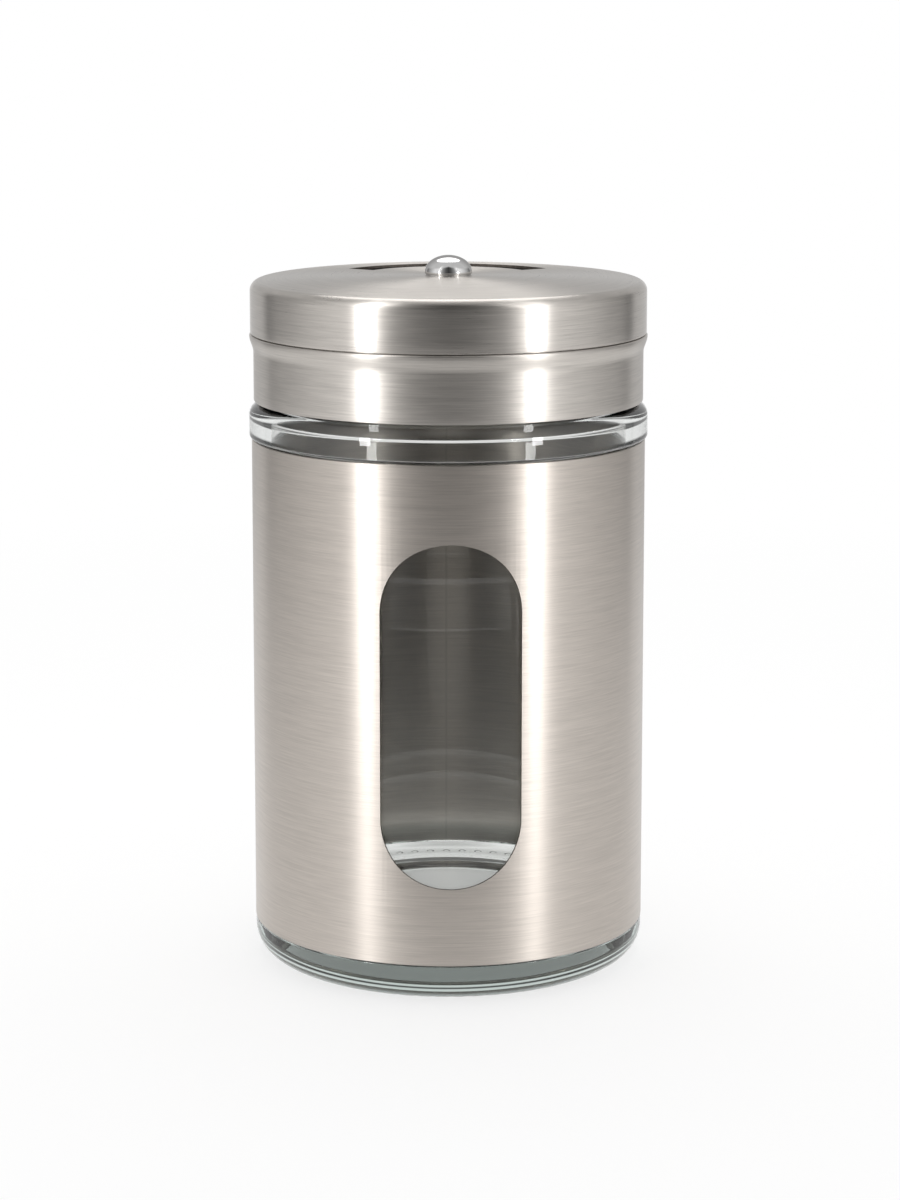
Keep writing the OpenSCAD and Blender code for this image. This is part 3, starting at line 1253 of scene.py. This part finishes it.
@dataclass
class Lid:
    """The lid's lower band, over the threaded ring, the sifter and the seal."""

    steps: int = 256
    sheet: float = 0.4
    sheet_edge: float = 0.12
    set_back: float = 0.35  # how far the band stays inside the sleeve's outside
    shoulder_out: float = 0.61
    shoulder_height: float = 2.5
    band_height: float = 10.3
    nose: float = 0.3  # rounding of the shoulder's upper edge
    hem: float = 1.2
    drum_gap: float = 0.28  # between the drum and the dial's cover

    def build(self, solids: Solids) -> None:
        """Builds the steel band and dresses the moulded pieces.

        Args:
            solids: The frame's solids by node.
        """
        band = self.band()
        dress(band, BAND_STEEL)
        hand_over(band, Body.LID, "lid_skirt")
        keep(solids, FOAM, "mouth_seal")
        keep(solids, MOULDED, "lid_insert", "sifter_disc")

    def band(self) -> bpy.types.Object:
        """The steel band: hem, straight wall, flared shoulder, ledge and inner drum.

        Returns:
            The closed solid.
        """
        sheet, edge, nose = self.sheet, self.sheet_edge, self.nose
        outer = radius_of("body_sleeve") - self.set_back
        inner = outer - sheet
        hem = inner - sheet
        shoulder = outer + self.shoulder_out
        drum = radius_of("dial_cover") - sheet - self.drum_gap
        low, high = bottom_of("lid_skirt"), top_of("lid_skirt")
        ledge = low + self.band_height
        flare = ledge - nose - self.shoulder_height
        outside = (
            arc(outer - edge, low + edge, edge, -90, 0, 4)
            + straight((outer, low + edge), (outer, flare), 6)
            + flow((outer, flare), (shoulder, ledge - nose), 20)
            + arc(shoulder - nose, ledge - nose, nose, 0, 90, 8)
            + [(drum, ledge), (drum, high), (drum - sheet, high), (drum - sheet, ledge - sheet)]
        )
        inside = (
            [(shoulder - sheet - nose, ledge - sheet)]
            + flow((shoulder - sheet, ledge - sheet - nose), (inner, flare), 12)
            + [(inner, low + self.hem), (hem + 0.1, low + self.hem), (hem, low + self.hem - 0.1)]
            + arc(hem + edge, low + edge, edge, 180, 270, 4)
        )
        piece = Bench.lathe("lid_band", outside + inside, self.steps)
        Bench.smooth(piece, 35)
        return piece


@dataclass
class Dial:
    """The dial that turns on the lid: steel cover, liner and knob, held by washers and a nut."""

    steps: int = 360
    sheet: float = 0.4
    sheet_edge: float = 0.1
    rim: float = 1.5
    crown: float = 0.7  # height of the cover's middle over its rim
    crown_run: float = 11.0  # how far in from the rim the crown rises
    flat_rings: tuple[float, ...] = (12.0, 9.0, 6.0, 4.2, 1.55)  # rings of points, down to the centre hole
    fan_outer: float = 18.5
    fan_width: float = 4.6
    fan_angle: float = 114.0
    fan_at: float = 90.0
    knob_steps: int = 96
    knob_height: float = 3.05
    knob_edge: float = 0.5
    knob_foot: float = 0.18
    shank: float = 1.5
    shank_chamfer: float = 0.2

    def build(self, solids: Solids) -> None:
        """Builds the cover and the knob, and dresses the rest.

        Args:
            solids: The frame's solids by node.
        """
        cover = self.cover()
        dress(cover, COVER_STEEL)
        # The fan opening's cut walls get painted shade.
        dress_faces(cover, SHADED_CUT_EDGE, lambda c, n: self.in_fan(c, 0.02) and abs(n.z) < 0.3)
        hand_over(cover, Body.DIAL, "dial_cover")
        knob = self.knob()
        dress(knob, POLISHED)
        hand_over(knob, Body.DIAL, "center_knob")
        keep(solids, LINER, "dial_liner")
        keep(solids, PLATED, "plain_washer", "spring_washer", "lock_nut")

    def crown_line(self, rim_z: float, drop: float) -> Profile:
        """The crown in section, from the rim to its flat middle and on to the centre hole.

        Args:
            rim_z: Height of the rim.
            drop: How far the line lies under the outer face.

        Returns:
            The points, with one on each edge of the fan opening.
        """
        edge = radius_of("dial_cover") - self.rim
        stations = {edge - self.crown_run * t for t in shares(16)}
        stations |= {self.fan_outer, self.fan_outer - self.fan_width, *self.flat_rings}
        line = []
        for r in sorted(stations, reverse=True):
            share = min(1.0, max(0.0, (edge - r) / self.crown_run))
            line.append((r, rim_z + self.crown * (1 - (1 - share) ** 2) - drop))
        return line

    def cover(self) -> bpy.types.Object:
        """The steel cover with its fan-shaped opening.

        Returns:
            The closed solid.
        """
        outer, rim, edge = radius_of("dial_cover"), self.rim, self.sheet_edge
        low = bottom_of("dial_cover")
        rim_z = top_of("dial_cover") - self.crown
        profile = (
            arc(outer - edge, low + edge, edge, -90, 0, 4)
            + straight((outer, low + edge), (outer, rim_z - rim), 4)
            + arc(outer - rim, rim_z - rim, rim, 0, 90, 16)
            + self.crown_line(rim_z, 0)
            + self.crown_line(rim_z, self.sheet)[::-1]
            + arc(outer - rim, rim_z - rim, rim - self.sheet, 90, 0, 10)
            + [(outer - self.sheet, low)]
        )
        piece = Bench.lathe("dial_cover_steel", profile, self.steps)
        self.cut_fan(piece, (rim_z - rim) * MM)
        Bench.smooth(piece, 35)
        return piece

    def in_fan(self, place: Vector, margin: float = 0.0) -> bool:
        """Whether a point lies inside the fan opening, seen from above.

        Args:
            place: The point, in metres.
            margin: Widening of the fan, in millimetres.

        Returns:
            True inside the fan.
        """
        r = math.hypot(place.x, place.y) / MM
        turn = math.degrees(math.atan2(place.y, place.x)) - self.fan_at
        half = self.fan_angle / 2 + math.degrees(margin / max(r, 1))
        low = self.fan_outer - self.fan_width - margin
        return low < r < self.fan_outer + margin and abs(turn) < half

    def cut_fan(self, piece: bpy.types.Object, floor: float) -> None:
        """Opens the fan in both faces of the sheet and closes the wall between them.

        Args:
            piece: The cover.
            floor: Height that the top's faces lie above, in metres.
        """
        Bench.select_faces(piece, lambda c, n: c.z > floor and self.in_fan(c))
        bpy.ops.mesh.delete(type="FACE")
        bpy.ops.mesh.select_mode(type="EDGE")
        bpy.ops.mesh.select_non_manifold()
        bpy.ops.mesh.bridge_edge_loops()
        bpy.ops.mesh.select_all(action="SELECT")
        bpy.ops.mesh.normals_make_consistent(inside=False)
        bpy.ops.object.mode_set(mode="OBJECT")

    def knob(self) -> bpy.types.Object:
        """The knob on its shank, with a dome that is half an ellipse.

        Returns:
            The closed solid.
        """
        head, foot = radius_of("center_knob"), self.knob_foot
        base, low = top_of("dial_cover"), bottom_of("center_knob")
        shank, chamfer = self.shank, self.shank_chamfer
        edge = base + self.knob_edge
        dome = self.knob_height - self.knob_edge
        turns = [math.pi / 2 * t for t in shares(36)]
        profile = (
            [(0.0, low), (shank - chamfer, low), (shank, low + chamfer), (shank, base)]
            + [(head - foot, base), (head - foot, base + foot)]
            + arc(head - foot, base + 2 * foot, foot, -90, 0, 4)
            + [(head * math.cos(a), edge + dome * math.sin(a)) for a in turns[:-1]]
            + [(0.0, edge + dome)]
        )
        piece = Bench.lathe("knob_dome", profile, self.knob_steps)
        Bench.smooth(piece, 40)
        return piece


# ---------------------------------------------------------------- studio


@dataclass
class Camera:
    """The camera at the front, a little above the lid, with its framing in pixels."""

    distance: float = 491.8
    height: float = 154.75
    pitch: float = 8.70  # degrees downward
    turn: float = 0.73  # degrees round the shaker
    focal: float = 3199.0
    centre: Pair = (448.4, 450.0)
    picture: Pair = (900.0, 1200.0)
    sensor: float = 36.0
    clip: Pair = (0.01, 20.0)

    def build(self) -> None:
        """Puts the camera in its place and makes it the scene's own."""
        data = bpy.data.cameras.new("camera")
        width, height = self.picture
        long_side = max(self.picture)
        data.sensor_width = self.sensor
        data.lens = self.focal * self.sensor / long_side
        data.shift_x = (width / 2 - self.centre[0]) / long_side
        data.shift_y = (self.centre[1] - height / 2) / long_side
        data.clip_start, data.clip_end = self.clip
        camera = bpy.data.objects.new("camera", data)
        bpy.context.scene.collection.objects.link(camera)
        turn = math.radians(self.turn)
        place = Vector((-math.sin(turn), -math.cos(turn), 0)) * self.distance
        camera.location = (place + Vector((0, 0, self.height))) * MM
        camera.rotation_euler = (math.radians(90 - self.pitch), 0, -turn)
        bpy.context.scene.camera = camera


@dataclass
class Studio:
    """Floor, light tent, flag and lamps; bearings are in degrees from the front."""

    fill: float = 0.85  # what matt surfaces get of the white surroundings
    floor_size: float = 8.0
    floor_grey: float = 0.96
    floor_glow: float = 0.74  # share of white in the floor beside the shaker
    floor_fade: Pair = (0.08, 0.40)  # where that share grows to 1
    shade: float = 0.8  # painted shadow: what glass loses of the floor under the foot
    shade_edge: Pair = (0.026, 0.031)
    shade_front: Pair = (0.002, 0.010)
    behind: float = 0.85  # painted shadow: what glass loses of the floor behind the foot
    behind_edge: Pair = (0.031, 0.034)
    behind_reach: Pair = (0.10, 0.30)
    tent_radius: float = 0.36
    tent_top: float = 0.57
    tent_edges: Pair = (68.0, 15.0)  # elevation of the top's edge, at the front and at the back
    tent_edge_blur: float = 4.0
    tent_greys: tuple[Pair, ...] = (  # bearing and grey of the tent's side
        *((0, 0.04), (14, 0.10), (30, 0.30), (40, 0.75), (66, 0.86), (80, 0.70), (100, 0.42)),
        *((117, 0.30), (120, 0.18), (126, 0.18), (130, 0.58), (158, 0.62), (166, 1.0)),
    )
    through_front: Span = (7.0, 17.0, 0.36, 0.0)  # by bearing, the warm light that glass shows at the front
    through_warm: Colour = rgb(1, 0.96, 0.9)
    through_back: Span = (80.0, 130.0, 0.0, 1.0)  # by bearing, the share of the back's own light in glass
    through_rise: Span = (12.5, 19.0, 1.0, 0.15)  # by elevation, that light
    strip_turns: Pair = (-46.5, 48.5)
    strip_distance: float = 0.33
    strip_foot: float = 0.044
    strip_size: Pair = (0.036, 0.58)
    strip_radiance: float = 15.0
    flag_turn: float = 38.0
    flag_reach: Pair = (0.06, 0.35)
    flag_greys: Span = (0.08, 0.30, 0.85, 0.38)  # by distance from the shaker
    flag_loss: float = 0.78  # what glass loses of the flag
    box_place: Place = (0, 0.10, 0.33)
    box_aim: Place = (0, 0, 0.1)
    box_size: Pair = (0.24, 0.20)
    box_radiance: float = 2.1

    def build(self) -> None:
        """Sets up everything that isn't part of the shaker."""
        self.world()
        self.floor()
        self.tent()
        self.flag()
        self.lamps()

    def world(self) -> None:
        """White surroundings, softer for matt surfaces."""
        world = bpy.data.worlds.new("studio_white")
        bpy.context.scene.world = world
        graph = Graph(world)
        strength = graph.seen() * (1 - self.fill) + self.fill
        graph.finish(graph.node("ShaderNodeBackground", None, WHITE, strength))

    def floor(self) -> None:
        """A white floor that keeps a soft shadow, and has a painted shadow under and behind the foot in what
        glass shows of it.
        """
        Bench.clear()
        bpy.ops.mesh.primitive_plane_add(size=self.floor_size, location=ORIGIN)
        floor = Bench.settle("studio_floor")
        material = bpy.data.materials.new("studio_floor")
        graph = Graph(material)
        x, y, z = graph.axes()
        away = (x * x + y * y).root()
        share = graph.seen() * away.span(*self.floor_fade, self.floor_glow, 1)
        # Painted shadow under and behind the foot, seen only through glass.
        under = (1 - away.span(*self.shade_edge)) * (1 - y.span(*self.shade_front))
        behind = y.span(*self.behind_edge) * (1 - away.span(*self.behind_reach))
        loss = graph.ray(Ray.THROUGH) * (under * self.shade + behind * self.behind)
        matte = graph.node("ShaderNodeBsdfDiffuse", None, rgb(*[self.floor_grey] * 3))
        shaders = matte.outputs[0], graph.glow(graph.blend(loss, WHITE, BLACK)).outputs[0]
        graph.finish(graph.node("ShaderNodeMixShader", None, share, *shaders))
        floor.data.materials.append(material)

    def tent(self) -> None:
        """A light tent round the shaker."""
        Bench.clear()
        bpy.ops.mesh.primitive_uv_sphere_add(segments=96, ring_count=48, radius=self.tent_radius)
        Bench.edit()
        bpy.ops.mesh.bisect(plane_co=(0, 0, MM / 2), plane_no=UP, clear_inner=True)
        self.light_up(Bench.settle("studio_tent"), self.tent_light)

    def tent_light(self, graph: Graph) -> bpy.types.NodeSocket:
        """The tent's light by bearing and elevation, with some of its own for what glass shows.

        Args:
            graph: The material's graph.

        Returns:
            The light's socket.
        """
        x, y, z = graph.axes()
        half_turn = 180
        bearing = x.angle(-1 * y).size()
        rise = (z / self.tent_radius).arc_sine()
        stops = [(degrees / half_turn, rgb(*[grey] * 3)) for degrees, grey in self.tent_greys]
        side = graph.node("ShaderNodeValToRGB", {"stops": stops}, bearing / half_turn).outputs[0]
        edge = bearing.span(0, half_turn, *self.tent_edges)
        upper = (rise - edge).span(-self.tent_edge_blur, self.tent_edge_blur)
        light = graph.blend(upper, side, rgb(*[self.tent_top] * 3))
        through = graph.ray(Ray.THROUGH)
        light = graph.blend(through * bearing.span(*self.through_front), light, self.through_warm)
        back = graph.blend(rise.span(*self.through_rise), BLACK, WHITE)
        return graph.blend(through * bearing.span(*self.through_back), light, back)

    def flag(self) -> None:
        """A fan-shaped flag that lies on the floor in front."""
        turn = math.radians(self.flag_turn)
        Bench.draw([(r * math.sin(turn) / MM, -r * math.cos(turn) / MM, 1) for r in self.flag_reach])
        Bench.spin(steps=24, turn=2 * turn)
        self.light_up(Bench.settle("studio_flag"), self.flag_light)

    def flag_light(self, graph: Graph) -> bpy.types.NodeSocket:
        """The flag's light by distance, with less of it for what glass shows.

        Args:
            graph: The material's graph.

        Returns:
            The light's socket.
        """
        x, y, z = graph.axes()
        grey = (x * x + y * y).root().span(*self.flag_greys)
        return graph.blend(grey * (1 - graph.ray(Ray.THROUGH) * self.flag_loss), BLACK, WHITE)

    @staticmethod
    def light_up(piece: bpy.types.Object, light: Callable[[Graph], bpy.types.NodeSocket]) -> None:
        """Makes a piece of the studio glow where only steel and glass show it.

        Args:
            piece: The piece.
            light: What adds the nodes of its light and gives the light's socket.
        """
        material = bpy.data.materials.new(piece.name)
        graph = Graph(material)
        graph.finish(graph.glow(light(graph)))
        piece.data.materials.append(material)
        piece.visible_camera = False
        piece.visible_diffuse = False
        piece.visible_shadow = False

    def lamp(self, name: str, place: Vector, aim: Vector, size: Pair, radiance: float) -> bpy.types.Object:
        """Hangs one rectangular lamp.

        Args:
            name: The lamp's name.
            place: Its centre.
            aim: Point that it faces.
            size: Width and height.
            radiance: Brightness of its face, where white is 1.

        Returns:
            The lamp.
        """
        data = bpy.data.lights.new(name, "AREA")
        data.shape = "RECTANGLE"
        data.size, data.size_y = size
        data.energy = radiance * math.pi * size[0] * size[1]
        lamp = bpy.data.objects.new(name, data)
        bpy.context.scene.collection.objects.link(lamp)
        lamp.location = place
        lamp.rotation_mode = "QUATERNION"
        lamp.rotation_quaternion = (aim - place).to_track_quat("-Z", "Y")
        lamp.visible_camera = False
        return lamp

    def lamps(self) -> None:
        """Two tall strips at the front corners, which only steel and glass show, and a box overhead."""
        for name, degrees in zip(("strip_left", "strip_right"), self.strip_turns):
            turn = math.radians(degrees)
            place = Vector((math.sin(turn), -math.cos(turn), 0)) * self.strip_distance
            place.z = self.strip_foot + self.strip_size[1] / 2
            strip = self.lamp(name, place, Vector((0, 0, place.z)), self.strip_size, self.strip_radiance)
            strip.visible_diffuse = False
        place, aim = Vector(self.box_place), Vector(self.box_aim)
        self.lamp("overhead", place, aim, self.box_size, self.box_radiance)


def main() -> None:
    """Builds the shaker piece by piece around the frame."""
    logging.basicConfig(level=logging.INFO, format="%(message)s")
    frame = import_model()
    bpy.context.scene.view_settings.view_transform = "Standard"
    Jar().build()
    Lid().build(frame["nodes"])
    Dial().build(frame["nodes"])
    Studio().build()
    Camera().build()


if __name__ == "__main__":
    main()
